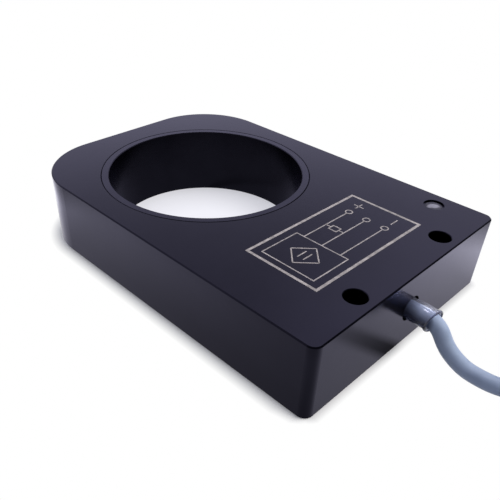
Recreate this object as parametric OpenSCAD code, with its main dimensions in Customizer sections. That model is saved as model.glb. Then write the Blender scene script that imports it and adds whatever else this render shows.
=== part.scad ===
// Inductive ring sensor. A flat machined body holds a plastic sleeve with the sensing winding at one
// end and a circuit board at the other. Resin closes the pocket from below, and a three-core cable
// leaves the end face through a soft boot. The ring axis is Z, and the underside lies on z = 0.

/* [Body] */
// Width of the body
body_w = 72.5; // [71:0.5:90]
// Distance from the ring axis to the cable end face
cable_reach = 69.5; // [68:0.5:90]
// Distance from the ring axis to the ring end face
ring_reach = 38; // [36.5:0.5:60]
// Thickness of the body
body_h = 20; // [19:0.5:26]
// Corner radius at the ring end
ring_corner_r = 20.5; // [4:0.5:28]
// Corner radius at the cable end
cable_corner_r = 2.25; // [1:0.25:4]
// Bevel on the outer edges
edge_break = 0.3; // [0.2:0.1:0.8]
// Wall above the pocket
top_wall = 3; // [2.5:0.25:3.5]
// Wall beside the pocket
side_wall = 2.6; // [2.4:0.1:3.4]
// Wall between the pocket and the cable end face
end_wall = 3; // [2.5:0.1:3.5]
// Radius of the milled pocket corners
pocket_corner_r = 3; // [1.5:0.25:3.5]
// How far the pocket runs into the ring chamber
pocket_overlap = 9; // [6:0.5:12]

/* [Mounting holes] */
// Diameter of the mounting holes
hole_d = 5.4; // [4:0.1:5.8]
// Distance between the mounting holes
hole_spacing = 34.5; // [24:0.5:44]
// Distance from the cable end face to the hole centres
hole_setback = 4.8; // [4.4:0.1:6]
// Wall of the boss around each hole
boss_wall = 1.9; // [1.5:0.1:2.4]

/* [Ring] */
// Diameter of the sensing bore
bore_d = 55; // [40:0.5:55.5]
// Sleeve wall where it shows in the faces
rim_wall = 2; // [1.8:0.1:2.8]
// Sleeve wall under the winding
former_wall = 1.4; // [1:0.1:1.7]
// Depth of the winding groove
groove_depth = 4.2; // [3.6:0.1:4.6]
// Thickness of the sleeve flanges
flange_t = 1.5; // [1:0.1:2]
// Bevel on the inner lip of the bore
lip_break = 0.2; // [0.1:0.1:0.6]
// Bevel on both sides of the seam around the sleeve
seam_break = 0.1; // [0.05:0.05:0.3]
// Diameter of one turn of the winding
wire_d = 0.8; // [0.5:0.05:1]
// Radial thickness of the winding
winding_t = 3.2; // [2:0.1:3.4]

/* [Indicator] */
// Diameter of the indicator recess
recess_d = 5.4; // [5:0.1:6]
// Depth of the indicator recess
recess_depth = 0.4; // [0.4:0.1:1.4]
// Diameter of the light pipe
pipe_d = 4.4; // [3:0.1:4.8]
// Distance from the pocket wall to the light pipe axis
led_inset = 3.1; // [2.4:0.1:6]
// Distance from the cable end face to the light pipe axis
led_setback = 14.1; // [12.5:0.1:18]

/* [Circuit board] */
// Thickness of the board
board_t = 1.6; // [0.8:0.1:2]
// Gap around the board
board_gap = 1; // [0.4:0.1:1.4]
// Gap between the board and the ring sleeve
board_ring_gap = 1.9; // [1:0.1:4]
// Diameter of the posts that locate the board
post_d = 4; // [3:0.25:5]
// Distance of the posts from the short board edges
post_inset = 9; // [7:0.5:12]
// Distance of the posts from the long board edges
post_margin = 3; // [2.5:0.25:4]

/* [Resin] */
// Height of the resin under the sleeve
seal_t = 3; // [2:0.25:4]
// Depth of the resin face below the rim
seal_recess = 0.3; // [0.1:0.05:0.6]

/* [Cable] */
// Diameter of the cable
cable_d = 4; // [3.6:0.1:4.2]
// Height of the cable axis where it leaves the body
cable_z = 10.2; // [9.5:0.1:11]
// Diameter of each core
core_d = 1.3; // [1:0.05:1.3]
// Diameter of the boot at the end face
boot_d = 5.6; // [5.4:0.1:6.4]
// Diameter of the boot at its rim
boot_rim_d = 5.5; // [5.4:0.1:5.8]
// Straight length of the boot outside the body
boot_straight = 3.2; // [2.8:0.1:3.6]
// Angle through which the boot droops
boot_droop = 6; // [4:1:9]
// Radius of the boot's droop
boot_bend_r = 24; // [20:1:28]
// Diameter of the boot flange inside the body
boot_flange_d = 8.8; // [7.6:0.1:10]
// Thickness of the boot flange inside the body
boot_flange_t = 1.2; // [0.8:0.1:1.6]
// Diameter of the crimped retainer behind the boot
retainer_d = 6.8; // [5.8:0.1:8]
// Length of the crimped retainer
retainer_len = 2; // [1.5:0.25:2.5]

/* [Clearances] */
// Gap between fitted pieces
fit = 0.15; // [0.05:0.05:0.2]
// Gap around wound, cast and crimped pieces
seat_gap = 0.05; // [0.02:0.01:0.1]
// Gap around the boot where it passes the end wall
boot_gap = 0.45; // [0.2:0.05:0.6]

/* [Hidden] */
$fn = 96;
// Overshoot of every cut past the face it opens
cut = 1;

// Body
half_w = body_w / 2;
pocket_top = body_h - top_wall;
pocket_half_w = half_w - side_wall;
pocket_front = cable_reach - end_wall;
hole_y = -(cable_reach - hole_setback);
boss_r = hole_d / 2 + boss_wall;
hole_break = edge_break / 2;

// Ring
bore_r = bore_d / 2;
rim_r = bore_r + rim_wall;
seat_r = rim_r + fit;
former_r = bore_r + former_wall;
flange_r = former_r + groove_depth;
chamber_r = flange_r + fit;
groove_low = seal_t + flange_t;
groove_high = pocket_top - flange_t;
winding_in_r = former_r + seat_gap;
winding_out_r = winding_in_r + winding_t;
winding_turns = floor((groove_high - groove_low) / wire_d);
pocket_back = chamber_r - pocket_overlap;

// Circuit board, with its upper face under the cores
core_r = core_d / 2;
board_top = cable_z - core_r;
board_low = board_top - board_t;
board_half_w = pocket_half_w - board_gap;
board_front = -hole_y - boss_r - board_gap;
board_back = flange_r + board_ring_gap;
board_corner_r = 1;
post_x = board_half_w - post_inset;
post_ys = [-board_front + post_margin, -board_back - post_margin];

// Places on the board: columns from left to right, and three rows
columns = 7;
row_inset = 3;
front_row = -board_front + row_inset;
middle_row = -(board_front + board_back) / 2;
back_row = -board_back - row_inset;
left_group = 1.5;
right_group = 4.5;
group_pitch = 3;

// Pieces on the board
stand_off = 0.1;
leg_w = 0.42;
leg_t = 0.2;
leg_z = 0.55;
leg_out = 0.35;
leg_foot = 0.7;
leg_pitch = 1.27;
wide_leg_pitch = 2.3;
oscillator_size = [8.7, 3.9, 1.6];
regulator_size = [4.9, 3.9, 1.6];
transistor_size = [6.5, 3.5, 1.7];
tab_size = [3.1, 1.8, 0.75];
can_base = [5.3, 5.3, 0.8];
can_d = 5;
can_h = 5.4;
diode_size = [4.3, 2.6, 2];
diode_feet = [5.2, 1.5, 1.1];
resistor_size = [2, 1.25, 0.5];
capacitor_size = [2, 1.25, 0.9];
cap_lip = 0.05;

// Indicator
led_x = pocket_half_w - led_inset;
led_y = -(cable_reach - led_setback);
led_base = [1.6, 3.2, 0.6];
led_dome = [1.2, 1.8, 0.5];
led_top = board_top + led_base.z + led_dome.z;
pipe_r = pipe_d / 2;
pipe_collar_w = 0.6;
pipe_collar_r = pipe_r + pipe_collar_w;
pipe_collar_t = 1.2;
pipe_air = 0.3;
recess_z = body_h - recess_depth;
dome_r = 8;
dome_rise = 0.3;

// Cable, cores and boot
cable_r = cable_d / 2;
boot_slack = 0.45;
boot_bore_r = cable_r + boot_slack;
boot_hole_r = boot_d / 2 + boot_gap;
boot_bead = 0.25;
boot_bead_len = 0.8;
boot_flange_y = -pocket_front + boot_flange_t;
retainer_y = boot_flange_y + retainer_len;
crimp_depth = 0.4;
jacket_stop = 1.3;
jacket_in = cable_reach + retainer_y + jacket_stop;
core_pitch = core_d + seat_gap;
pad_pitch = 4;
pad_setback = 4;
pad_y = -board_front + pad_setback;
pad_d = 2;
pad_h = 1;
coil_wire_r = 0.25;
coil_pad_x = 3;
coil_pad_setback = 2.5;
coil_pad_y = -board_back - coil_pad_setback;

// Route of the cable: across, out from the end face, and height
cable_points = [
    [0, -jacket_in, cable_z],
    [0, 0, cable_z],
    [0, 2, cable_z],
    [0, 3, cable_z - 0.01],
    [0, 4, cable_z - 0.1],
    [0, 5, cable_z - 0.29],
    [0, 5.7, cable_z - 0.48],
    [0, 6.5, cable_z - 0.8],
    [0, 7.2, cable_z - 1.2],
    [0, 7.8, cable_z - 1.68],
    [0, 8.3, cable_z - 2.2],
    [0, 8.7, cable_z - 2.7],
    [0, 9.3, 6.65],
    [0, 10, 5.77],
    [0, 11, 4.75],
    [0, 12.5, 3.67],
    [0, 14.2, 2.78],
    [0, 16, cable_r + 0.2],
    [0, 17.6, cable_r + 0.02],
    [0, 19.2, cable_r],
    [0.1, 20.8, cable_r],
    [0.4, 22.5, cable_r],
    [0.95, 24.2, cable_r],
    [1.7, 26.2, cable_r],
    [2.4, 28.2, cable_r],
    [2.8, 29.8, cable_r],
    [3, 31.2, cable_r],
    [3, 32, cable_r]
];
cable_route = [for (p = cable_points) [p.x, -cable_reach - p.y, p.z]];
cable_stop = cable_route[len(cable_route) - 1];

// Coil of the spare cable, with its turns side by side and on each other
coil_slack = 0.1;
coil_pitch = cable_d + coil_slack;
coil_columns = 4;
coil_levels = 4;
coil_in_r = 12.95;
coil_out_r = coil_in_r + coil_columns * coil_pitch;
coil_h = coil_levels * coil_pitch;
coil_x = cable_stop.x + coil_out_r - coil_pitch / 2;
coil_run = 15;
coil_y = cable_stop.y - coil_run;
coil_corner = 1.2;
tie_w = 3;
tie_t = 0.9;
tie_angle = 60;
tie_head = [4.6, 4.2, 3.2];

// Flying leads on the floor inside the coil
lead_from = 190;
lead_to = 350;
lead_steps = 16;
lead_drift = 1.8;
tip_len = 6;
tip_r = 0.4;

sensor_black = "#201f26";
sleeve_black = "#17171b";
resin_black = "#101012";
jacket_grey = "#8e98ad";
solder_grey = "#b9bcc0";

// Unit vector along v
function unit(v) = v / norm(v);

// Direction of travel at point i of a route
function heading(route, i) =
    let (last = len(route) - 1)
    unit(route[min(i + 1, last)] - route[max(i - 1, 0)]);

// Ring of points around point i of a route
function route_ring(route, i, r, sides) =
    let (along = heading(route, i))
    let (across = unit(cross(along, [0, 0, 1])))
    let (up = cross(across, along))
    [for (k = [0:sides - 1]) route[i] + r * (cos(360 * k / sides) * across + sin(360 * k / sides) * up)];

// Round tube along a route that never runs straight up
module tube(route, r, sides) {
    count = len(route);
    points = [for (i = [0:count - 1]) each route_ring(route, i, r, sides)];
    near_cap = [for (k = [0:sides - 1]) k];
    far_cap = [for (k = [sides - 1:-1:0]) (count - 1) * sides + k];
    walls = [
        for (i = [0:count - 2], k = [0:sides - 1])
            let (a = i * sides + k)
            let (b = i * sides + (k + 1) % sides)
            each [[a, a + sides, b], [b, a + sides, b + sides]]
    ];
    polyhedron(points, concat([near_cap, far_cap], walls));
}

// Rectangle from x0 to x1 and y0 to y1 with round corners of radius r
module round_rect(x0, x1, y0, y1, r) {
    translate([x0 + r, y0]) square([x1 - x0 - 2 * r, y1 - y0]);
    translate([x0, y0 + r]) square([x1 - x0, y1 - y0 - 2 * r]);
    for (x = [x0 + r, x1 - r], y = [y0 + r, y1 - r]) translate([x, y]) circle(r);
}

// Outline of the body, with its two corner radii
module body_outline() {
    side_low = -cable_reach + cable_corner_r;
    side_high = ring_reach - ring_corner_r;
    translate([-half_w, side_low]) square([body_w, side_high - side_low]);
    translate([-half_w + cable_corner_r, -cable_reach])
        square([body_w - 2 * cable_corner_r, cable_corner_r + cut]);
    translate([-half_w + ring_corner_r, side_high - cut])
        square([body_w - 2 * ring_corner_r, ring_corner_r + cut]);
    for (s = [-1, 1]) {
        translate([s * (half_w - cable_corner_r), side_low]) circle(cable_corner_r);
        translate([s * (half_w - ring_corner_r), side_high]) circle(ring_corner_r);
    }
}

// Section of the material taken off an edge, with the edge at [x, 0]
module bevel_section(x) {
    translate([x, 0]) polygon([
        [-edge_break, 0],
        [0, -edge_break],
        [cut, -edge_break],
        [cut, cut],
        [-edge_break, cut]
    ]);
}

// Bevel all around the upper edge of the body
module upper_bevel() {
    side_low = -cable_reach + cable_corner_r;
    side_high = ring_reach - ring_corner_r;
    cable_half = half_w - cable_corner_r;
    ring_half = half_w - ring_corner_r;
    translate([0, 0, body_h]) {
        for (m = [0, 1]) mirror([m, 0, 0]) {
            translate([0, side_high, 0]) rotate([90, 0, 0])
                linear_extrude(side_high - side_low) bevel_section(half_w);
            translate([ring_half, side_high, 0])
                rotate_extrude(angle = 90) bevel_section(ring_corner_r);
            translate([cable_half, side_low, 0])
                rotate([0, 0, -90]) rotate_extrude(angle = 90) bevel_section(cable_corner_r);
        }
        translate([cable_half, 0, 0]) rotate([90, 0, -90])
            linear_extrude(2 * cable_half) bevel_section(cable_reach);
        translate([-ring_half, 0, 0]) rotate([90, 0, 90])
            linear_extrude(2 * ring_half) bevel_section(ring_reach);
    }
}

// Mirror image of the children in the body's middle plane
module underside() {
    translate([0, 0, body_h]) mirror([0, 0, 1]) children();
}

// Children at both mounting holes
module at_holes() {
    for (s = [-1, 1]) translate([s * hole_spacing / 2, hole_y]) children();
}

// Outline of the pocket in the underside, drawn in by a gap
module pocket_outline(gap) {
    difference() {
        union() {
            circle(chamber_r - gap);
            round_rect(-pocket_half_w + gap, pocket_half_w - gap, -pocket_front + gap, -pocket_back - gap,
                       pocket_corner_r);
        }
        at_holes() circle(boss_r + gap);
    }
}

// Pocket with the posts for the board left standing
module pocket() {
    difference() {
        translate([0, 0, -cut]) linear_extrude(pocket_top + cut) pocket_outline(0);
        for (x = [-post_x, post_x], y = post_ys)
            translate([x, y, board_top]) cylinder(d = post_d, h = body_h);
    }
}

// Through hole with a bevel at its upper edge
module bevelled_hole(r, bevel) {
    translate([0, 0, -cut]) cylinder(r = r, h = body_h + 2 * cut);
    translate([0, 0, body_h - bevel]) cylinder(r1 = r, r2 = r + 2 * bevel, h = 2 * bevel);
}

// Machined body
module housing() {
    color(sensor_black) difference() {
        linear_extrude(body_h) body_outline();
        upper_bevel();
        underside() upper_bevel();
        pocket();
        bevelled_hole(seat_r, seam_break);
        at_holes() bevelled_hole(hole_d / 2, hole_break);
        translate([led_x, led_y, recess_z]) cylinder(d = recess_d, h = recess_depth + cut);
        translate([led_x, led_y, pocket_top - cut]) cylinder(r = pipe_r + seat_gap, h = top_wall + cut);
        translate([0, -pocket_front + cut, cable_z]) rotate([90, 0, 0])
            cylinder(r = boot_hole_r, h = end_wall + 2 * cut);
    }
}

// Plastic sleeve that lines the bore and carries the winding between two flanges
module bore_sleeve() {
    color(sleeve_black) rotate_extrude() polygon([
        [bore_r, 0],
        [rim_r, 0],
        [rim_r, seal_t],
        [flange_r, seal_t],
        [flange_r, groove_low],
        [former_r, groove_low],
        [former_r, groove_high],
        [flange_r, groove_high],
        [flange_r, pocket_top],
        [rim_r, pocket_top],
        [rim_r, body_h - seam_break],
        [rim_r - seam_break, body_h],
        [bore_r + lip_break, body_h],
        [bore_r, body_h - lip_break]
    ]);
}

// Winding with its outer layer of turns
module sensing_coil() {
    layer_r = winding_out_r - wire_d / 2;
    turn_r = wire_d / 2 - seat_gap / 4;
    color("#b4632c") rotate_extrude() {
        translate([winding_in_r, groove_low])
            square([layer_r - winding_in_r, winding_turns * wire_d]);
        for (i = [0:winding_turns - 1])
            translate([layer_r, groove_low + (i + 0.5) * wire_d]) circle(turn_r, $fn = 32);
    }
}

// Ends of the winding, straight to their pads on the board
module coil_leads() {
    color("#c07a3c") difference() {
        for (x = [-coil_pad_x, coil_pad_x])
            translate([x, 0, board_top + coil_wire_r]) rotate([90, 0, 0])
                cylinder(r = coil_wire_r, h = -coil_pad_y, $fn = 24);
        cylinder(r = winding_out_r, h = body_h);
    }
}

// Board outline, clear of the pocket walls, the bosses and the sleeve
module board_outline() {
    round_rect(-board_half_w, board_half_w, -board_front, -board_back, board_corner_r);
}

// Resin that closes the pocket and bears on the board
module potting() {
    color(resin_black) {
        difference() {
            translate([0, 0, seal_recess]) linear_extrude(seal_t - seal_recess) pocket_outline(seat_gap);
            translate([0, 0, -cut]) cylinder(r = rim_r + seat_gap, h = body_h);
        }
        translate([0, 0, seal_recess]) linear_extrude(board_low - seal_recess) board_outline();
    }
}

// Board that carries the circuit
module circuit_board() {
    color("#1f6b3a") translate([0, 0, board_low]) linear_extrude(board_t) board_outline();
}

// Children on the board, in a column and a row, moved across by dx
module on_board(column, row, dx = 0) {
    translate([board_half_w * (2 * (column + 0.5) / columns - 1) + dx, row, board_top]) children();
}

// Block standing on z = 0, centred in x and y
module block(size) {
    translate([-size.x / 2, -size.y / 2, 0]) cube(size);
}

// Moulded chip with bent legs along its two long sides
module leaded_chip(size, legs, pitch) {
    foot_out = leg_out + leg_foot;
    translate([0, 0, stand_off]) block([size.x, size.y, size.z - stand_off]);
    for (m = [0, 1], i = [0:legs - 1])
        mirror([0, m, 0]) translate([(i - (legs - 1) / 2) * pitch - leg_w / 2, size.y / 2, 0])
            rotate([90, 0, 90]) linear_extrude(leg_w) polygon([
                [-leg_t, leg_z],
                [leg_out, leg_z],
                [leg_out, 0],
                [foot_out, 0],
                [foot_out, leg_t],
                [leg_out + leg_t, leg_t],
                [leg_out + leg_t, leg_z + leg_t],
                [-leg_t, leg_z + leg_t]
            ]);
}

// Chip that drives the winding and reads its losses
module oscillator_chip() {
    color("#26262a") on_board(2, middle_row) leaded_chip(oscillator_size, 7, leg_pitch);
}

// Transistor that switches the output, with its wide cooling tab
module output_transistor() {
    color("#2a2a2e") on_board(4, middle_row) {
        leaded_chip(transistor_size, 3, wide_leg_pitch);
        translate([0, (transistor_size.y + tab_size.y) / 2, 0]) block(tab_size);
    }
}

// Regulator for the supply of the circuit
module voltage_regulator() {
    color("#26262a") on_board(1, middle_row) leaded_chip(regulator_size, 4, leg_pitch);
}

// Can capacitor on its square base
module smoothing_capacitor() {
    color("#a9adb3") on_board(0, middle_row) {
        block(can_base);
        cylinder(d = can_d, h = can_h);
    }
}

// Diodes against reversed supply and switching spikes
module protection_diodes() {
    color("#2c2c30") for (column = [3, 5]) on_board(column, middle_row) {
        translate([0, 0, stand_off]) block(diode_size);
        block(diode_feet);
    }
}

// Chip part with a cap at each end
module chip_part(size) {
    cap = size.x / 5;
    translate([0, 0, cap_lip]) block([size.x - cap, size.y - 2 * cap_lip, size.z - 2 * cap_lip]);
    for (s = [-1, 1]) translate([s * (size.x - cap) / 2, 0, 0]) block([cap, size.y, size.z]);
}

// Resistors of the circuit, in the front row
module chip_resistors() {
    color("#3a3a40") for (column = [left_group, right_group], i = [-1:1])
        on_board(column, front_row, i * group_pitch) chip_part(resistor_size);
}

// Ceramic capacitors of the circuit, in the back row
module chip_capacitors() {
    color("#a78a62") for (column = [left_group, right_group], i = [-1:1])
        on_board(column, back_row, i * group_pitch) chip_part(capacitor_size);
}

// Solder at the ends of the cores and of the winding
module solder_joints() {
    module joint(x, y) {
        translate([x, y, board_top]) cylinder(d1 = pad_d, d2 = pad_d / 2, h = pad_h, $fn = 32);
    }
    color(solder_grey) {
        for (i = [-1:1]) joint(i * pad_pitch, pad_y + pad_d / 2);
        for (x = [-coil_pad_x, coil_pad_x]) joint(x, coil_pad_y - pad_d / 2);
    }
}

// Lamp on the board under the light pipe
module indicator_led() {
    color("#e6e2d0") translate([led_x, led_y, board_top]) {
        block(led_base);
        translate([0, 0, led_base.z]) block(led_dome);
    }
}

// Clear rod that takes the light to the recess in the top face
module light_pipe() {
    color("#e9e7df") translate([led_x, led_y, 0]) {
        intersection() {
            translate([0, 0, led_top + pipe_air]) cylinder(r = pipe_r, h = body_h);
            translate([0, 0, recess_z + dome_rise - dome_r]) sphere(dome_r);
        }
        translate([0, 0, led_top + pipe_air]) cylinder(r = pipe_r, h = pocket_top - led_top - pipe_air);
        translate([0, 0, pocket_top - pipe_collar_t]) cylinder(r = pipe_collar_r, h = pipe_collar_t);
    }
}

// Tube of the boot outside the body, drooping along the cable
module boot_droop_part(r, over) {
    translate([0, -cable_reach - boot_straight, cable_z - boot_bend_r]) rotate([0, -90, 180])
        rotate_extrude(angle = boot_droop + over) translate([boot_bend_r, 0]) circle(r, $fn = 48);
}

// Soft boot around the cable, held by its flange behind the end wall
module cable_boot() {
    straight_end = -cable_reach - boot_straight;
    color("#aab2c2") difference() {
        union() {
            translate([0, boot_flange_y, cable_z]) rotate([90, 0, 0])
                cylinder(d = boot_flange_d, h = boot_flange_t);
            translate([0, -pocket_front, cable_z]) rotate([90, 0, 0]) cylinder(d = boot_d, h = end_wall);
            translate([0, -cable_reach, cable_z]) rotate([90, 0, 0])
                cylinder(d1 = boot_d, d2 = boot_rim_d, h = boot_straight);
            boot_droop_part(boot_rim_d / 2, 0);
            translate([0, straight_end, cable_z - boot_bend_r]) rotate([0, -90, 180])
                rotate([0, 0, boot_droop]) translate([boot_bend_r, -boot_bead_len, 0]) rotate([-90, 0, 0])
                    cylinder(r = boot_rim_d / 2 + boot_bead, h = boot_bead_len);
        }
        translate([0, boot_flange_y + cut, cable_z]) rotate([90, 0, 0])
            cylinder(r = boot_bore_r, h = boot_flange_y + cut - straight_end);
        boot_droop_part(boot_bore_r, 3);
    }
}

// Crimped sleeve that keeps the cable from being pulled out
module cable_retainer() {
    retainer_r = retainer_d / 2;
    inner_r = cable_r + seat_gap;
    color("#9aa0a6") translate([0, boot_flange_y, cable_z]) rotate([-90, 0, 0]) rotate_extrude() polygon([
        [inner_r, 0],
        [retainer_r, 0],
        [retainer_r, retainer_len * 0.25],
        [retainer_r - crimp_depth, retainer_len * 0.4],
        [retainer_r - crimp_depth, retainer_len * 0.6],
        [retainer_r, retainer_len * 0.75],
        [retainer_r, retainer_len],
        [inner_r, retainer_len]
    ]);
}

// Core from the end of the jacket to its pad, in place -1, 0 or 1
module core(place) {
    jacket_end = -cable_reach + jacket_in;
    tube([
        [place * core_pitch, jacket_end, cable_z],
        [place * core_pitch, jacket_end + 1, cable_z],
        [place * (core_pitch + pad_pitch) / 2, (jacket_end + pad_y) / 2, cable_z],
        [place * pad_pitch, pad_y - 1, cable_z],
        [place * pad_pitch, pad_y, cable_z]
    ], core_r, 8);
}

module core_brown() {
    color("#6b3f22") core(-1);
}

module core_black() {
    color("#1b1b1d") core(0);
}

module core_blue() {
    color("#2f5fa8") core(1);
}

// Cable from its end inside the body to the coil
module cable() {
    color(jacket_grey) tube(cable_route, cable_r, 12);
}

// Outer shape of the coiled cable, with the cable's run into it
module cable_coil() {
    run_r = cable_r - coil_slack;
    color(jacket_grey) difference() {
        union() {
            translate([coil_x, coil_y, 0]) rotate_extrude() polygon([
                [coil_in_r, 0],
                [coil_out_r, 0],
                [coil_out_r, coil_h - coil_corner],
                [coil_out_r - coil_corner, coil_h],
                [coil_in_r + coil_corner, coil_h],
                [coil_in_r, coil_h - coil_corner]
            ]);
            translate(cable_stop) rotate([90, 0, 0]) cylinder(r = run_r, h = coil_run);
        }
        translate([coil_x, coil_y, -cut]) rotate([0, 0, tie_angle])
            translate([0, -tie_w / 2 - fit, 0]) cube([2 * coil_out_r, tie_w + 2 * fit, tie_t + cut]);
    }
}

// Strap around the coil, with its locking head on top
module cable_tie() {
    strap_in = coil_in_r - 2 * fit;
    strap_out = coil_out_r + fit;
    strap_top = coil_h + seat_gap;
    color("#1c1c1e") translate([coil_x, coil_y, 0]) rotate([0, 0, tie_angle]) {
        rotate([90, 0, 0]) linear_extrude(tie_w, center = true) difference() {
            round_rect(strap_in - tie_t, strap_out + tie_t, 0, strap_top + tie_t, tie_t);
            translate([strap_in, tie_t]) square([strap_out - strap_in, strap_top - tie_t]);
        }
        translate([(coil_in_r + coil_out_r) / 2, 0, strap_top + tie_t / 2]) block(tie_head);
    }
}

// Route of a lead on the floor, winding inwards along the inside of the coil, in place 0, 1 or 2
function lead_route(place) =
    let (from_r = coil_in_r - core_r - seat_gap - place * (core_d + 2 * seat_gap))
    [
        for (i = [0:lead_steps])
            let (a = lead_from + (lead_to - lead_from) * i / lead_steps)
            let (r = from_r - lead_drift * i / lead_steps)
            [coil_x + r * cos(a), coil_y + r * sin(a), core_r]
    ];

module lead_brown() {
    color("#6b3f22") tube(lead_route(0), core_r, 8);
}

module lead_black() {
    color("#1b1b1d") tube(lead_route(1), core_r, 8);
}

module lead_blue() {
    color("#2f5fa8") tube(lead_route(2), core_r, 8);
}

// Tinned ends of the leads
module lead_tips() {
    color(solder_grey) for (place = [0:2]) {
        route = lead_route(place);
        from = route[lead_steps];
        tube([from, from + tip_len * heading(route, lead_steps)], tip_r, 8);
    }
}

housing();
bore_sleeve();
sensing_coil();
coil_leads();
potting();
circuit_board();
oscillator_chip();
output_transistor();
voltage_regulator();
smoothing_capacitor();
protection_diodes();
chip_resistors();
chip_capacitors();
solder_joints();
indicator_led();
light_pipe();
cable_boot();
cable_retainer();
core_brown();
core_black();
core_blue();
cable();
cable_coil();
cable_tie();
lead_brown();
lead_black();
lead_blue();
lead_tips();
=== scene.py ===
"""Inductive ring sensor: finishes, marking, boot, cable and studio, in metres in the part's own frame."""
import math

import bmesh
import bpy
from mathutils import Matrix, Vector


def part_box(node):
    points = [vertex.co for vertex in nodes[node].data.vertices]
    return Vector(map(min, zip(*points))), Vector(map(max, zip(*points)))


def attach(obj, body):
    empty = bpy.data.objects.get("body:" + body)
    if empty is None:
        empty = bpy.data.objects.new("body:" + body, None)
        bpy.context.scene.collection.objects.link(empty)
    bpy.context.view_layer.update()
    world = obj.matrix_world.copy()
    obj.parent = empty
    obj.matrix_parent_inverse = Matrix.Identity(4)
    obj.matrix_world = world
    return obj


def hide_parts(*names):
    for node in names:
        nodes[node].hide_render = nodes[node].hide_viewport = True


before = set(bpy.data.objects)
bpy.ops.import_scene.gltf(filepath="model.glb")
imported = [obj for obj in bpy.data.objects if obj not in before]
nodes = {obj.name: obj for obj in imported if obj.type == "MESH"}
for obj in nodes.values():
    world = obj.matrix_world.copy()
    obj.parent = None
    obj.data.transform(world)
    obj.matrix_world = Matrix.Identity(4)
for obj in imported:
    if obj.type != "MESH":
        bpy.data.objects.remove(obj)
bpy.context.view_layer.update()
MM = 0.001

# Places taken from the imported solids
body_low, body_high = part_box("housing")
END_Y = body_low.y
TOP_Z = body_high.z
boot_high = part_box("cable_boot")[1]
coil_low, coil_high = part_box("cable_coil")

# Radii of the bore and of the body's corners
BORE_R = 27.5 * MM
RING_CORNER_R = 20.5 * MM
CABLE_CORNER_R = 2.25 * MM

# Camera, as fitted to the edges and circles of the object
CAMERA_PLACE = Vector((-102.145, -112.209, 92.297)) * MM
CAMERA_AHEAD = Vector((0.56888, 0.5594, -0.60286))
CAMERA_RIGHT = Vector((0.71378, -0.69996, 0.02405))
IMAGE_SIDE = 500
FOCAL_PIXELS = 573.08
IMAGE_CENTRE = (231.79, 287.39)
SENSOR_WIDTH = 36.0

# Cable: its size, its height in the body and on the floor, and its route from inside the body to the coil,
# as sideways, out of the end face and up, in millimetres
CABLE_R = 2.0 * MM
CABLE_Z = 10.2
LYING_Z = 2.0
CABLE_POINTS = [
    (0, -7.5, CABLE_Z), (0, 0, CABLE_Z), (0, 2, CABLE_Z), (0, 3, CABLE_Z - 0.01), (0, 4, CABLE_Z - 0.07),
    (0, 5, CABLE_Z - 0.21), (0, 5.7, CABLE_Z - 0.37), (0, 6.5, CABLE_Z - 0.67), (0, 7.2, CABLE_Z - 1.10),
    (0, 7.8, CABLE_Z - 1.62), (0, 8.3, CABLE_Z - 2.17), (0, 8.7, CABLE_Z - 2.7), (0, 9.3, 6.65),
    (0, 10, 5.77), (0, 11, 4.75), (0, 12.5, 3.67), (0, 14.2, 2.78), (0, 16, LYING_Z + 0.2),
    (0, 17.6, LYING_Z + 0.02), (0, 19.2, LYING_Z), (0.1, 20.8, LYING_Z), (0.4, 22.5, LYING_Z),
    (0.95, 24.2, LYING_Z), (1.7, 26.2, LYING_Z), (2.4, 28.2, LYING_Z), (2.8, 29.8, LYING_Z),
    (3, 31.2, LYING_Z), (3, 32, LYING_Z), (3, 40, LYING_Z),
]

# Coil of the spare cable, with angles in degrees
COIL_CENTRE = ((coil_low + coil_high) / 2).xy
COIL_PITCH = 4.1 * MM
COIL_COLUMNS = 4
COIL_LEVELS = 4
COIL_FIRST_R = 27.3 * MM
COIL_FIRST_Z = 2.05 * MM
COIL_START = 180
COIL_END = 5550
COIL_STEP = 20
RAMP = 90

# Tie around the coil
TIE_ANGLE = 60
TIE_REACH = 24
TIE_T = 0.9 * MM
TIE_W = 3.0 * MM
TIE_IN_R = 12.65 * MM
TIE_OUT_R = 29.5 * MM
TIE_TOP = 16.45 * MM
TIE_CORNER_R = 0.9 * MM
TIE_BEVEL = 0.2 * MM
TIE_HEAD = Vector((4.6, 4.2, 3.0)) * MM
TIE_HEAD_UP = 1.9 * MM
TIE_TAIL = Vector((1.1, 2.8, 1.4)) * MM
TIE_TAIL_UP = 3.6 * MM
TIE_RIB = Vector((0.4, 1.8, 0.3)) * MM
TIE_RIBS = 6
TIE_RIBS_FROM = 3.2 * MM
TIE_RIB_PITCH = 0.9 * MM

# Boot: its bend and slanting rim, and its section in millimetres
BOOT_STRAIGHT = 3.25 * MM
BOOT_BEND_R = 14 * MM
BOOT_DROOP = math.radians(12.4)
RIM_SLANT_X = 0.17
RIM_CURVE_X = 0.075
RIM_SLANT_DOWN = 0.09
BOOT_FLANGE_R = 4.4
BOOT_R = 2.8
BOOT_TAPER = 0.012
BOOT_BORE_R = 2.45
GROOVE_BACK = 1.15
ROLL_LENGTH = 0.42
ROLL_R = 0.3
ROLL_AT = 2.7

# Flying leads
CORE_R = 0.65 * MM
LEAD_NAMES = ("brown", "black", "blue")
LEAD_FROM, LEAD_TO = 190, 350
LEAD_FIRST_R = 12.25 * MM
LEAD_PITCH = 1.4 * MM
LEAD_DRIFT = 1.8 * MM
LEAD_ASIDE = 0.75 * MM
LEAD_INSIDE = 4 * MM
LEAD_STRAIGHT = 2 * MM
LEAD_TURN = 0.5
TIP_LENGTH = 6 * MM
STRAND_R = 0.13 * MM
STRANDS = 7
STRAND_TWIST = 25

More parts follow.
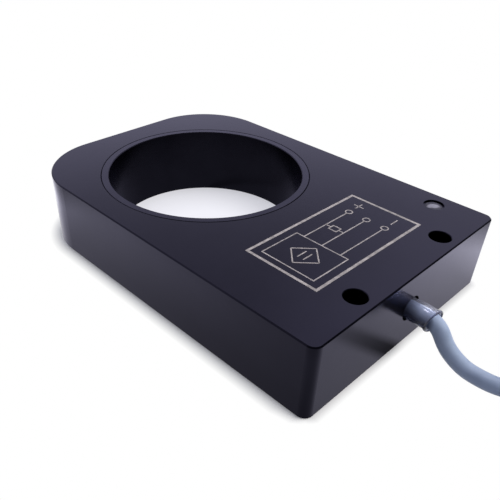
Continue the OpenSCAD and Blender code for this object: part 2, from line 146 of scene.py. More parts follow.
# Marking on the top face: a frame with a plain wiring picture in it
MARK_CENTRE = Vector((-1.53, -47.86)) * MM
MARK_TURN = math.radians(-0.5)
MARK_SIZE = Vector((40.8, 21.1)) * MM
FRAME_LINE = 0.72 * MM
PEN = 0.32 * MM
MARK_LOW = 0.002 * MM
MARK_HIGH = 0.012 * MM

# The room is bright at its back, with a large lamp above the right and two small windows high up,
# whose edges fade between two cosines of the angle from their middles
ROOM_BACK = (0.205, 0.979, 0.0)
ROOM_LAMP = (0.605, 0.102, 0.790)
ROOM_WINDOWS = (((0.02, 0.165, 0.986), 18.0), ((0.51, 0.18, 0.841), 8.0))
WINDOW_EDGE = (0.9955, 0.998)

# Floor: the shadow next to the body, and its brightness under the bore from the middle to the edge
SHADOW_REACH = 3.5 * MM
SHADOW_DEPTH = 0.82
SHADOW_CURVE = 1.15
SHADOW_NARROW = 1.75
SHADOW_PINCH = 0.7
BORE_MIDDLE, BORE_EDGE = 0.90, 0.535
FLOOR_HALF = 2.0
FLOOR_DROP = 0.02 * MM

# Painted light and shade of the floor, seen only in reflections: what is measured, from where to where, and
# the factor of brightness at each end
PAINTED_FLOOR_LIGHT = (
    ("y", -76 * MM, 16 * MM, 0.55, 0.95),
    ("from_body", 0.0, 17 * MM, 0.73, 1.6),
    ("x", -40 * MM, -30 * MM, 1.0, 1.22),
    ("x", 0.0, 40 * MM, 1.0, 1.6),
    ("from_body", 17 * MM, 38 * MM, 1.0, 0.3),
)
BORE_PAINTED_SHADE, NO_LIMIT = 0.28, 10.0

# Painted shadow of the boot: a dark strip of the floor beside it, seen only in reflections
STRIP_START = -4.6 * MM
STRIP_SLOPE = -0.28
STRIP_EDGE = (1.6 * MM, 5.2 * MM)
STRIP_LENGTH = 24 * MM
STRIP_DEPTH = 0.85

# Direction of the side of the cable with painted shade at the boot's rim
PAINTED_SHADE_SIDE = (-0.71, 0.70, 0)

# Middle of the painted highlight on the light pipe from its axis, and its two directions, shorter where the
# highlight is longer
PAINTED_HIGHLIGHT_ASIDE = Vector((-0.50, -0.12, 0)) * MM
PAINTED_HIGHLIGHT_ALONG = (0.5, -0.5, 0)
PAINTED_HIGHLIGHT_ACROSS = (0.8, 0.8, 0)


class Shader:
    """Material with a Principled shader and short ways to add nodes to it."""

    def __init__(self, name):
        self.material = bpy.data.materials.new(name)
        self.material.use_nodes = True
        self.tree = self.material.node_tree
        self.bsdf = self.tree.nodes["Principled BSDF"]
        self.place = self.add("TexCoord").outputs["Object"]

    def put(self, socket, value):
        """Sets a socket to a constant, or links another socket to it."""
        if isinstance(value, bpy.types.NodeSocket):
            self.tree.links.new(value, socket)
        else:
            socket.default_value = value

    def add(self, kind, inputs=None, **settings):
        node = self.tree.nodes.new("ShaderNode" + kind)
        for name, value in settings.items():
            setattr(node, name, value)
        for name, value in (inputs or {}).items():
            self.put(node.inputs[name], value)
        return node

    def set(self, **inputs):
        """Sets inputs of the Principled shader, with _ for the spaces in their names."""
        for name, value in inputs.items():
            self.put(self.bsdf.inputs[name.replace("_", " ")], value)

    def noise(self, size, detail):
        """Noise with features of about that size in metres."""
        place = self.add("Mapping", {"Vector": self.place, "Scale": [1 / size] * 3}).outputs["Vector"]
        return self.add("TexNoise", {"Vector": place, "Scale": 1.0, "Detail": detail}).outputs["Fac"]

    def math(self, operation, a, b=0.0, c=0.0):
        return self.add("Math", {0: a, 1: b, 2: c}, operation=operation).outputs["Value"]

    def parts(self):
        """The X, Y and Z of the place on the surface."""
        return self.add("SeparateXYZ", {"Vector": self.place}).outputs

    def flat(self, x, y):
        """Vector with no height."""
        return self.add("CombineXYZ", {"X": x, "Y": y}).outputs["Vector"]

    def length(self, vector):
        return self.add("VectorMath", {0: vector}, operation="LENGTH").outputs["Value"]

    def dot(self, vector, direction):
        return self.add("VectorMath", {0: vector, 1: direction}, operation="DOT_PRODUCT").outputs["Value"]

    def offset_from(self, point):
        """Vector from a point to the place on the surface."""
        return self.add("VectorMath", {0: self.place, 1: point}, operation="SUBTRACT").outputs["Vector"]

    def span(self, factor, low, high, from_low=0.3, from_high=0.7):
        """Number that runs from low to high as the factor goes between two limits."""
        limits = {"From Min": from_low, "From Max": from_high, "To Min": low, "To Max": high}
        return self.add("MapRange", {"Value": factor, **limits}).outputs["Result"]

    def blend(self, factor, low, high):
        """Colour that goes from low to high as the factor goes from 0 to 1."""
        node = self.add("Mix", {0: factor}, data_type="RGBA")
        self.put(node.inputs[6], low)
        self.put(node.inputs[7], high)
        return node.outputs[2]

    def mix(self, factor, low, high):
        """Colour that goes from low to high over the middle of the factor's range."""
        return self.blend(self.span(factor, 0.0, 1.0), (*low, 1.0), (*high, 1.0))

    def bump(self, height, depth, strength, under=None):
        """Bump of that depth in metres, over another bump if one is given."""
        node = self.add("Bump", {"Height": height, "Distance": depth, "Strength": strength})
        if under is not None:
            self.put(node.inputs["Normal"], under)
        return node.outputs["Normal"]


def body_finish():
    """Satin black anodised metal: a fine blasted grain over faint clouds in colour and gloss."""
    s = Shader("body_black")
    clouds = s.noise(22 * MM, 3)
    grain = s.noise(0.22 * MM, 2)
    s.set(
        Base_Color=s.mix(clouds, (0.0120, 0.0115, 0.0188), (0.0147, 0.0141, 0.0230)),
        Metallic=1.0,
        Specular_Tint=(0.89, 0.88, 1.0, 1),
        Roughness=s.span(s.noise(1.6 * MM, 3), 0.16, 0.20),
        Normal=s.bump(grain, 0.004 * MM, 0.08),
    )
    return s.material


def turned_finish():
    """Turned black plastic: fine tool rings around the bore, on its rim and down its wall."""
    s = Shader("sleeve_black")
    parts = s.parts()
    flat = s.flat(parts["X"], parts["Y"])
    radius = s.length(flat)
    along = s.math("ADD", radius, parts["Z"])
    rings = s.math("SINE", s.math("MULTIPLY", along, 2 * math.pi / (0.16 * MM)))
    grain = s.bump(s.noise(0.1 * MM, 2), 0.003 * MM, 0.3)
    s.set(
        Base_Color=s.mix(s.noise(9 * MM, 2), (0.0232, 0.0224, 0.0345), (0.0278, 0.0268, 0.0410)),
        Metallic=1.0,
        Specular_Tint=(0.85, 0.84, 0.96, 1),
        Roughness=s.span(s.noise(0.9 * MM, 2), 0.24, 0.30),
        Normal=s.bump(rings, 0.002 * MM, 0.3, grain),
    )
    return s.material


def resin_finish():
    """Cast black resin with a shallow ripple and a few matt patches."""
    s = Shader("resin_black")
    ripple = s.bump(s.noise(6 * MM, 1), 0.12 * MM, 0.5)
    s.set(
        Base_Color=s.mix(s.noise(5 * MM, 3), (0.006, 0.006, 0.007), (0.011, 0.011, 0.012)),
        Roughness=s.span(s.noise(8 * MM, 3), 0.18, 0.34),
        Normal=s.bump(s.noise(0.4 * MM, 2), 0.01 * MM, 0.4, ripple),
    )
    return s.material


def plain_finish(name, low, high, rough, metallic=0.0, size=2.0):
    """Finish with clouds between two colours, a span of gloss and a fine grain."""
    s = Shader(name)
    s.set(
        Base_Color=s.mix(s.noise(size * MM, 3), low, high),
        Roughness=s.span(s.noise(size * MM / 3, 2), *rough),
        Metallic=metallic,
        Normal=s.bump(s.noise(0.15 * MM, 2), 0.006 * MM, 0.3),
    )
    return s.material


def jacket_finish():
    """Blue-grey cable jacket: uneven satin plastic, with painted shade on one side where it leaves the
    boot's rim.
    """
    s = Shader("jacket_grey")
    soft = s.bump(s.noise(2.2 * MM, 2), 0.05 * MM, 0.3)
    middle, facing = rim_plane()
    offset = s.offset_from(middle)
    past = s.dot(offset, facing)
    aside = s.dot(offset, PAINTED_SHADE_SIDE)
    # Painted shade: a dark band on the side of the cable towards the body, just past the boot's rim
    begins = s.span(past, 0.0, 1.0, -1.0 * MM, -0.2 * MM)
    ends = s.span(past, 1.0, 0.0, 0.6 * MM, 2.6 * MM)
    on_side = s.span(aside, 0.0, 1.0, 0.7 * MM, 1.7 * MM)
    shade = s.math("MULTIPLY", s.math("MULTIPLY", begins, ends), on_side)
    tone = s.mix(s.noise(3 * MM, 3), (0.212, 0.271, 0.406), (0.245, 0.308, 0.452))
    s.set(
        Base_Color=s.blend(shade, tone, (0.035, 0.05, 0.10, 1.0)),
        Roughness=s.span(s.noise(0.8 * MM, 2), 0.38, 0.50),
        Specular_IOR_Level=0.45,
        Normal=s.bump(s.noise(0.12 * MM, 2), 0.006 * MM, 0.35, soft),
    )
    return s.material


def boot_finish():
    """Clear soft plastic, uneven, with painted shade towards the body and on the lower side, a painted pale
    line along its bottom, and darker at the rolled rim.
    """
    s = Shader("boot_clear")
    parts = s.parts()
    # How clear it is: painted shade along it towards the body and by height around its axis, with a painted
    # pale line at the bottom, and darker up to the rim
    clear = s.span(parts["Y"], 0.39, 0.68, END_Y, END_Y - 3.5 * MM)
    above = s.math("SUBTRACT", parts["Z"], CABLE_Z * MM)
    painted_shade_below = s.span(above, 0.3, 1.0, -0.8 * MM, 1.2 * MM)
    painted_pale_bottom = s.span(above, 1.4, 0.3, -2.3 * MM, -1.7 * MM)
    clear = s.math("MULTIPLY", clear, s.math("MAXIMUM", painted_shade_below, painted_pale_bottom))
    middle, facing = rim_plane()
    behind = s.math("SUBTRACT", middle.dot(facing), s.dot(s.place, facing))
    clear = s.math("MULTIPLY", clear, s.span(behind, 0.0, 1.0, 0.15 * MM, 0.5 * MM))
    s.set(
        Base_Color=s.mix(clear, (0.12, 0.13, 0.21), (0.55, 0.58, 0.69)),
        Roughness=s.span(s.noise(1.0 * MM, 2), 0.08, 0.12),
        IOR=1.42,
        Transmission_Weight=0.88,
        Normal=s.bump(s.noise(1.2 * MM, 2), 0.02 * MM, 0.06),
    )
    return s.material


def lens_finish():
    """End of the light pipe: a painted highlight as a pale oval core, fading to the dark rim of the lens.
    """
    s = Shader("lens_clear")
    pipe_low, pipe_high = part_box("light_pipe")
    offset = s.offset_from((pipe_low + pipe_high) / 2 + PAINTED_HIGHLIGHT_ASIDE)
    radius = s.length(s.flat(s.dot(offset, PAINTED_HIGHLIGHT_ALONG), s.dot(offset, PAINTED_HIGHLIGHT_ACROSS)))
    uneven = s.math("MULTIPLY_ADD", s.noise(0.7 * MM, 2), 0.5 * MM, radius)
    # Painted highlight: the pale core, with the lens's dark colour towards its rim
    core = s.span(uneven, 1.0, 0.0, 0.9 * MM, 1.8 * MM)
    s.set(
        Base_Color=s.mix(core, (0.024, 0.024, 0.040), (0.150, 0.152, 0.205)),
        Roughness=s.span(s.noise(0.3 * MM, 2), 0.42, 0.56),
        Specular_IOR_Level=0.18,
        Normal=s.bump(s.noise(0.25 * MM, 2), 0.01 * MM, 0.3),
    )
    return s.material


def marking_finish():
    """Laser mark: the pale bare metal, with fine scan lines and uneven strength along the strokes."""
    s = Shader("laser_mark")
    scan = s.math("SINE", s.math("MULTIPLY", s.parts()["X"], 2 * math.pi / (0.11 * MM)))
    uneven = s.noise(1.3 * MM, 3)
    s.set(
        Base_Color=s.mix(uneven, (0.125, 0.117, 0.124), (0.288, 0.271, 0.287)),
        Roughness=s.span(uneven, 0.45, 0.6),
        Specular_IOR_Level=0.4,
        Normal=s.bump(scan, 0.004 * MM, 0.3),
    )
    return s.material


def dress(finish, *names):
    """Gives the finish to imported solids."""
    for name in names:
        mesh = nodes[name].data
        mesh.materials.clear()
        mesh.materials.append(finish)


def show(name, data, finish, *stands_for, slot=None):
    """Adds a piece to the object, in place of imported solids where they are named."""
    piece = bpy.data.objects.new(name, data)
    bpy.context.scene.collection.objects.link(piece)
    data.materials.append(finish)
    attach(piece, "root")
    if stands_for:
        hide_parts(*stands_for)
    return piece


def mesh_of(name, form, smooth=True):
    """Mesh made from a bmesh, with its faces turned outwards."""
    bmesh.ops.recalc_face_normals(form, faces=form.faces)
    for face in form.faces:
        face.smooth = smooth
    mesh = bpy.data.meshes.new(name)
    form.to_mesh(mesh)
    form.free()
    return mesh


def join_rings(form, rings):
    """Closes a loop of rings of vertices with faces."""
    count = len(rings[0])
    for near, far in zip(rings, rings[1:] + rings[:1]):
        for k in range(count):
            form.faces.new((near[k], near[(k + 1) % count], far[(k + 1) % count], far[k]))


def wire(name, routes, radius, roundness, steps=6):
    """Round wire along smooth routes, as one curve with a spline for each."""
    curve = bpy.data.curves.new(name, "CURVE")
    curve.dimensions = "3D"
    curve.bevel_depth = radius
    curve.bevel_resolution = roundness
    curve.resolution_u = steps
    curve.use_fill_caps = True
    for route in routes:
        spline = curve.splines.new("BEZIER")
        spline.bezier_points.add(len(route) - 1)
        for point, place in zip(spline.bezier_points, route):
            point.co = place
            point.handle_left_type = point.handle_right_type = "AUTO"
    return curve


def smooth_step(t):
    t = min(max(t, 0.0), 1.0)
    return t * t * (3 - 2 * t)


def polar(angle, radius, height):
    """Point around the middle of the coil, with the angle in degrees."""
    a = math.radians(angle)
    return Vector((COIL_CENTRE.x + radius * math.cos(a), COIL_CENTRE.y + radius * math.sin(a), height))


def coil_ramps():
    """Angle, change of radius and change of height of each ramp: three in a column, then one to the next.
    Around the coil, a ramp to the next column lies between the ramps of the two columns."""
    turn, short_turn = 360, 315
    ramps = []
    angle = COIL_START
    for column in range(COIL_COLUMNS):
        rise = COIL_PITCH if column % 2 == 0 else -COIL_PITCH
        for level in range(COIL_LEVELS - 1):
            angle += short_turn if level == 0 else turn
            ramps.append((angle, 0.0, rise))
        angle += short_turn
        ramps.append((angle, -COIL_PITCH, 0.0))
    return ramps


def tie_lift(angle, height):
    """How far the strap under the coil lifts a turn at that height."""
    away = abs((angle - TIE_ANGLE + 180) % 360 - 180)
    top = (COIL_LEVELS - 1) * COIL_PITCH
    return TIE_T * (1 - smooth_step(away / TIE_REACH)) * (1 - (height - COIL_FIRST_Z) / top)


def coil_route():
    """Centre line of the coiled cable."""
    route = []
    ramps = coil_ramps()
    for angle in range(COIL_START, COIL_END + 1, COIL_STEP):
        radius, height = COIL_FIRST_R, COIL_FIRST_Z
        for middle, wider, higher in ramps:
            share = smooth_step((angle - middle) / RAMP + 0.5)
            radius += wider * share
            height += higher * share
        route.append(polar(angle, radius, height + tie_lift(angle, height)))
    return route


def cable_route():
    start = [Vector((x * MM, END_Y - out * MM, z * MM)) for x, out, z in CABLE_POINTS]
    return start + coil_route()


def lead_route(place, route):
    """Route of a core from the end of the jacket onto the floor inside the coil."""
    end = route[-1]
    ahead = (route[-1] - route[-2]).normalized()
    across = Vector((0, 0, 1)).cross(ahead)
    turn = 2 * math.pi * place / len(LEAD_NAMES) + LEAD_TURN
    offset = LEAD_ASIDE * (math.cos(turn) * across + math.sin(turn) * Vector((0, 0, 1)))
    points = [end - LEAD_INSIDE * ahead + offset, end + offset, end + LEAD_STRAIGHT * ahead + offset]
    from_r = LEAD_FIRST_R - LEAD_PITCH * place
    steps = 16
    for i in range(steps + 1):
        share = i / steps
        points.append(polar(LEAD_FROM + (LEAD_TO - LEAD_FROM) * share, from_r - LEAD_DRIFT * share, CORE_R))
    return points


def tip_strands(route):
    """Routes of the strands at the bare end of a lead, twisted around the last of them."""
    from_end = route[-1]
    ahead = (route[-1] - route[-2]).normalized()
    across = Vector((0, 0, 1)).cross(ahead)
    steps = 14
    strands = []
    for k in range(STRANDS):
        points = []
        for i in range(steps + 1):
            turn = math.radians(360 / (STRANDS - 1) * k + STRAND_TWIST * i)
            out = 0.0 if k == STRANDS - 1 else 2 * STRAND_R
            aside = out * (math.cos(turn) * across + math.sin(turn) * Vector((0, 0, 1)))
            points.append(from_end + ahead * (TIP_LENGTH * i / steps) + aside)
        strands.append(points)
    return strands


def boot_axis(s):
    """Point and direction of the boot's axis, s metres from its inner end."""
    bend_from = boot_high.y - END_Y + BOOT_STRAIGHT
    if s <= bend_from:
        return Vector((0, boot_high.y - s, CABLE_Z * MM)), Vector((0, -1, 0))
    a = (s - bend_from) / BOOT_BEND_R
    out = BOOT_STRAIGHT + BOOT_BEND_R * math.sin(a)
    drop = BOOT_BEND_R * (1 - math.cos(a))
    return Vector((0, END_Y - out, CABLE_Z * MM - drop)), Vector((0, -math.cos(a), -math.sin(a)))


def rim_plane():
    """Middle of the boot's slanting rim, and the direction that it faces."""
    middle, ahead = boot_axis(boot_high.y - END_Y + BOOT_STRAIGHT + BOOT_BEND_R * BOOT_DROOP)
    right = Vector((1, 0, 0))
    facing = ahead - RIM_SLANT_X * right - RIM_SLANT_DOWN * right.cross(ahead)
    return middle, facing.normalized()


def boot_mesh():
    """Clear hollow boot: flange behind the wall, neck through it, drooping tube and slanting rolled rim."""
    face = (boot_high.y - END_Y) / MM
    rim = face + (BOOT_STRAIGHT + BOOT_BEND_R * BOOT_DROOP) / MM
    # Section as distance along the axis and radius: flange and neck, with a waist at the face
    profile = [(0.15, BOOT_FLANGE_R), (1.05, BOOT_FLANGE_R), (1.2, 4.25), (1.2, 2.9), (1.35, BOOT_R)]
    profile += [(face - 0.3, 2.74), (face, 2.62), (face + 0.5, 2.64), (face + 0.9, 2.74)]
    # Tube to the groove behind the rim
    profile += [(face + step, BOOT_R - BOOT_TAPER * step) for step in (1.3, 2, 3, 4, 5)]
    profile += [(rim - GROOVE_BACK, 2.73), (rim - 1.0, 2.71)]
    # Rolled rim as an arc, then the bore back to the flange
    for step in range(13):
        a = math.radians(200 - 20 * step)
        profile.append((rim - ROLL_LENGTH + ROLL_LENGTH * math.cos(a), ROLL_AT + ROLL_R * math.sin(a)))
    profile += [(rim - back, BOOT_BORE_R) for back in (0.45, 1, 2, 3, 4, 5)]
    profile += [(face, BOOT_BORE_R), (0.1, BOOT_BORE_R), (0, BOOT_BORE_R + 0.1), (0, 4.25)]
    sides = 72
    form = bmesh.new()
    rings = []
    for s, r in profile:
        place, ahead = boot_axis(s * MM)
        right = Vector((1, 0, 0))
        down = right.cross(ahead)
        slant = smooth_step((s - face) / (rim - GROOVE_BACK - face))
        ring = []
        for k in range(sides):
            x, z = math.cos(2 * math.pi * k / sides), math.sin(2 * math.pi * k / sides)
            further = slant * (RIM_SLANT_X * x - RIM_CURVE_X * x * x + RIM_SLANT_DOWN * z)
            ring.append(form.verts.new(place + r * MM * (x * right + z * down + further * ahead)))
        rings.append(ring)
    join_rings(form, rings)
    return mesh_of("cable_boot_clear", form)


def tie_mesh():
    """Strap around the coil with ratchet ribs, and its locking head on top."""
    form = bmesh.new()
    corner_steps = 5
    corners = [(TIE_IN_R, TIE_T), (TIE_OUT_R, TIE_T), (TIE_OUT_R, TIE_TOP), (TIE_IN_R, TIE_TOP)]
    inner, outer = [], []
    for (r, z), from_angle in zip(corners, (180, 270, 0, 90)):
        for i in range(corner_steps + 1):
            a = math.radians(from_angle + 90 * i / corner_steps)
            inner.append(Vector((r, 0, z)))
            outer.append(Vector((r + TIE_CORNER_R * math.cos(a), 0, z + TIE_CORNER_R * math.sin(a))))
    edge = 1 - TIE_BEVEL / TIE_W
    section = [(0, -1), (0, 1), (TIE_BEVEL, 1), (TIE_T, edge), (TIE_T, -edge), (TIE_BEVEL, -1)]
    rings = []
    for near, far in zip(inner, outer):
        out = (far - near).normalized()
        ring = []
        for depth, side in section:
            ring.append(form.verts.new(near + out * depth + Vector((0, side * TIE_W / 2, 0))))
        rings.append(ring)
    join_rings(form, rings)
    middle = (TIE_IN_R + TIE_OUT_R) / 2
    add_block(form, Vector((middle, 0, TIE_TOP + TIE_HEAD_UP)), TIE_HEAD, bevel=0.5 * MM)
    add_block(form, Vector((middle, 0, TIE_TOP + TIE_TAIL_UP)), TIE_TAIL, bevel=0.15 * MM)
    for i in range(TIE_RIBS):
        rib_x = TIE_IN_R + TIE_RIBS_FROM + TIE_RIB_PITCH * i
        add_block(form, Vector((rib_x, 0, TIE_TOP + TIE_T)), TIE_RIB, bevel=0.08 * MM)
    turn = Matrix.Rotation(math.radians(TIE_ANGLE), 4, "Z")
    form.transform(Matrix.Translation((COIL_CENTRE.x, COIL_CENTRE.y, 0)) @ turn)
    return mesh_of("cable_tie_strap", form, smooth=False)


def add_block(form, centre, size, bevel):
    """Adds a block with bevelled edges to a bmesh."""
    place = Matrix.Translation(centre) @ Matrix.Diagonal((*size, 1))
    made = bmesh.ops.create_cube(form, size=1.0, matrix=place)
    edges = {edge for vert in made["verts"] for edge in vert.link_edges}
    bmesh.ops.bevel(form, geom=list(edges), offset=bevel, segments=2, profile=0.6, affect="EDGES")


class Marking:
    """Flat strokes on the top face, drawn from the middle of the frame in millimetres."""

    def __init__(self):
        self.form = bmesh.new()
        self.turn = Matrix.Rotation(MARK_TURN, 2)

    def fill(self, points):
        """Raises a thin slab over a polygon."""
        flat = [self.turn @ (Vector(p) * MM) + MARK_CENTRE for p in points]
        low = [self.form.verts.new((p.x, p.y, TOP_Z + MARK_LOW)) for p in flat]
        high = [self.form.verts.new((p.x, p.y, TOP_Z + MARK_HIGH)) for p in flat]
        count = len(flat)
        self.form.faces.new(high)
        self.form.faces.new(low[::-1])
        for k in range(count):
            self.form.faces.new((low[k], low[(k + 1) % count], high[(k + 1) % count], high[k]))

    def line(self, start, end, width=PEN):
        a, b = Vector(start), Vector(end)
        side = (b - a).normalized().orthogonal() * (width / MM / 2)
        self.fill([a - side, b - side, b + side, a + side])

    def box(self, x0, y0, x1, y1, width=PEN):
        """Outline of a rectangle, with its line inside the given edges."""
        h = width / MM / 2
        self.line((x0, y0 + h), (x1, y0 + h), width)
        self.line((x0, y1 - h), (x1, y1 - h), width)
        self.line((x0 + h, y0 + 2 * h), (x0 + h, y1 - 2 * h), width)
        self.line((x1 - h, y0 + 2 * h), (x1 - h, y1 - 2 * h), width)

    def ring(self, x, y, r):
        h = PEN / MM / 2
        steps = 40
        for k in range(steps):
            a, b = (2 * math.pi * (k + i) / steps for i in (0, 1))
            corner = [(r - h, a), (r + h, a), (r + h, b), (r - h, b)]
            self.fill([(x + q * math.cos(t), y + q * math.sin(t)) for q, t in corner])


def marking_mesh():
    pen = Marking()
    half = MARK_SIZE / MM / 2
    pen.box(-half.x, -half.y, half.x, half.y, FRAME_LINE)
    # The sensor as a box with the sign for a proximity switch
    left, right, top = -18, -5.5, 7.8
    middle, reach = (left + right) / 2, 4.2
    bar, apart = 1.6, 0.85
    pen.box(left, -top, right, top)
    for sx, sy in ((1, 1), (1, -1), (-1, -1), (-1, 1)):
        pen.line((middle + reach * sx, 0), (middle, reach * sy))
    for y in (apart, -apart):
        pen.line((middle - bar, y), (middle + bar, y))
    # Three wires to their terminals, with the load between the first two
    outer_y, terminal_x, terminal_r = 5.4, 12.1, 0.9
    load_x, load_half, load_low, load_high = 2.75, 1.15, 1.4, 4.0
    for y in (outer_y, 0, -outer_y):
        pen.line((right, y), (terminal_x - terminal_r, y))
        pen.ring(terminal_x, y, terminal_r)
    pen.box(load_x - load_half, load_low, load_x + load_half, load_high)
    pen.line((load_x, load_high), (load_x, outer_y))
    pen.line((load_x, 0), (load_x, load_low))
    # Signs of the supply
    sign_x, sign_half = 16.3, 1.5
    pen.line((sign_x - sign_half, outer_y), (sign_x + sign_half, outer_y))
    pen.line((sign_x, outer_y - sign_half), (sign_x, outer_y + sign_half))
    pen.line((sign_x - sign_half, -outer_y), (sign_x + sign_half, -outer_y))
    return mesh_of("marking", pen.form, smooth=False)


def make_camera():
    camera = bpy.data.cameras.new("camera")
    camera.sensor_width = SENSOR_WIDTH
    camera.lens = FOCAL_PIXELS / IMAGE_SIDE * SENSOR_WIDTH
    camera.shift_x = 0.5 - IMAGE_CENTRE[0] / IMAGE_SIDE
    camera.shift_y = IMAGE_CENTRE[1] / IMAGE_SIDE - 0.5
    camera.clip_start = 0.005
    holder = bpy.data.objects.new("camera", camera)
    bpy.context.scene.collection.objects.link(holder)
    ahead = CAMERA_AHEAD.normalized()
    right = (CAMERA_RIGHT - CAMERA_RIGHT.dot(ahead) * ahead).normalized()
    axes = Matrix((right, right.cross(ahead), -ahead)).transposed()
    holder.matrix_world = Matrix.Translation(CAMERA_PLACE) @ axes.to_4x4()
    bpy.context.scene.camera = holder


def calc(tree, operation, a, b):
    """Socket with the result of a Math node."""
    node = tree.nodes.new("ShaderNodeMath")
    node.operation = operation
    tree.links.new(a, node.inputs[0])
    tree.links.new(b, node.inputs[1])
    return node.outputs["Value"]


def seen_directly(tree, *others):
    """Socket that is 1 for what the camera sees, and for the other kinds of ray that are named."""
    path = tree.nodes.new("ShaderNodeLightPath").outputs
    total = path["Is Camera Ray"]
    for name in others:
        total = calc(tree, "MAXIMUM", total, path[name])
    return total


def glow(tree, direction, starts, full, low, high):
    """Socket with a brightness that runs from low to high towards a direction of the room."""
    towards = tree.nodes.new("ShaderNodeVectorMath")
    towards.operation = "DOT_PRODUCT"
    towards.inputs[1].default_value = direction
    tree.links.new(tree.nodes.new("ShaderNodeTexCoord").outputs["Generated"], towards.inputs[0])
    level = tree.nodes.new("ShaderNodeMapRange")
    level.interpolation_type = "SMOOTHSTEP"
    for name, value in (("From Min", starts), ("From Max", full), ("To Min", low), ("To Max", high)):
        level.inputs[name].default_value = value
    tree.links.new(towards.outputs["Value"], level.inputs["Value"])
    return level.outputs["Result"]


def make_world():
    """White room: plain white to the camera, and otherwise bright behind the object and dim in front."""
    world = bpy.data.worlds.new("room")
    world.use_nodes = True
    tree = world.node_tree
    tree.nodes.clear()
    up = (0, 0, 1)
    room = glow(tree, ROOM_BACK, starts=-0.07, full=0.56, low=0.22, high=0.99)
    low_band = glow(tree, up, starts=0.235, full=0.5, low=1.32, high=1.0)
    horizon = glow(tree, up, starts=0.05, full=0.30, low=0.3, high=1.0)
    room = calc(tree, "MULTIPLY", calc(tree, "MULTIPLY", room, low_band), horizon)
    room = calc(tree, "ADD", room, glow(tree, ROOM_LAMP, starts=0.87, full=1.0, low=0.0, high=1.55))
    for window, strength in ROOM_WINDOWS:
        room = calc(tree, "ADD", room, glow(tree, window, *WINDOW_EDGE, low=0.0, high=strength))
    fill = tree.nodes.new("ShaderNodeBackground")
    fill.inputs["Color"].default_value = (0.92, 0.915, 1.0, 1)
    tree.links.new(room, fill.inputs["Strength"])
    white = tree.nodes.new("ShaderNodeBackground")
    white.inputs["Color"].default_value = (1, 1, 1, 1)
    mix = tree.nodes.new("ShaderNodeMixShader")
    tree.links.new(seen_directly(tree), mix.inputs[0])
    tree.links.new(fill.outputs[0], mix.inputs[1])
    tree.links.new(white.outputs[0], mix.inputs[2])
    output = tree.nodes.new("ShaderNodeOutputWorld")
    tree.links.new(mix.outputs[0], output.inputs["Surface"])
    bpy.context.scene.world = world


def painted_boot_shadow(s, parts):
    """Painted shadow of the boot: how dark the floor is in reflections, in a strip beside it."""
    out = s.math("SUBTRACT", END_Y, parts["Y"])
    middle = s.math("MULTIPLY_ADD", out, STRIP_SLOPE, STRIP_START)
    aside = s.math("ABSOLUTE", s.math("SUBTRACT", parts["X"], middle))
    across = s.span(aside, 1.0, 0.0, *STRIP_EDGE)
    return s.math("MULTIPLY", across, s.span(out, STRIP_DEPTH, 0.0, 0.0, STRIP_LENGTH))


